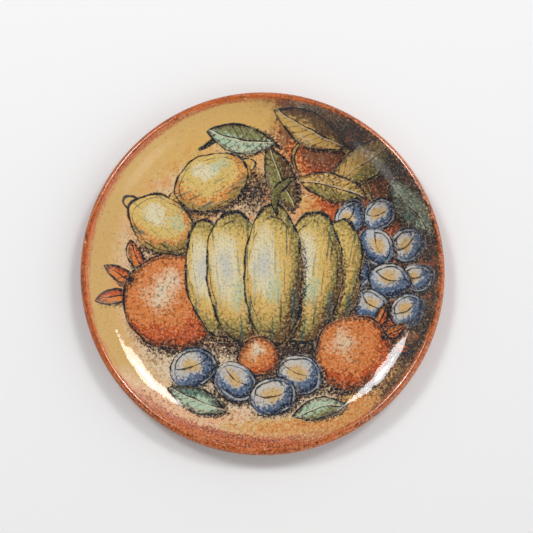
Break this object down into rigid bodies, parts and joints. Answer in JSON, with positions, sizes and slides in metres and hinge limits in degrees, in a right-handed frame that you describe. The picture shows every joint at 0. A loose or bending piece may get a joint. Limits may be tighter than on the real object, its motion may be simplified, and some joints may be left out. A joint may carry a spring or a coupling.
{
  "type": "decorative plate",
  "caption": "Round shallow decorative plate with a rounded lip, a curved rim, a foot ring and a painted glazed front.",
  "frame": {"origin": "middle of the underside of the foot ring", "axes": "+Z out of the painted face along the plate's axis, +Y towards the top of the painted picture, +X to its right"},
  "size_m": [0.33, 0.33, 0.0249],
  "materials": {
    "glaze": "glossy"
  },
  "bodies": {
    "root": {"plate": "glaze"}
  },
  "joints": []
}
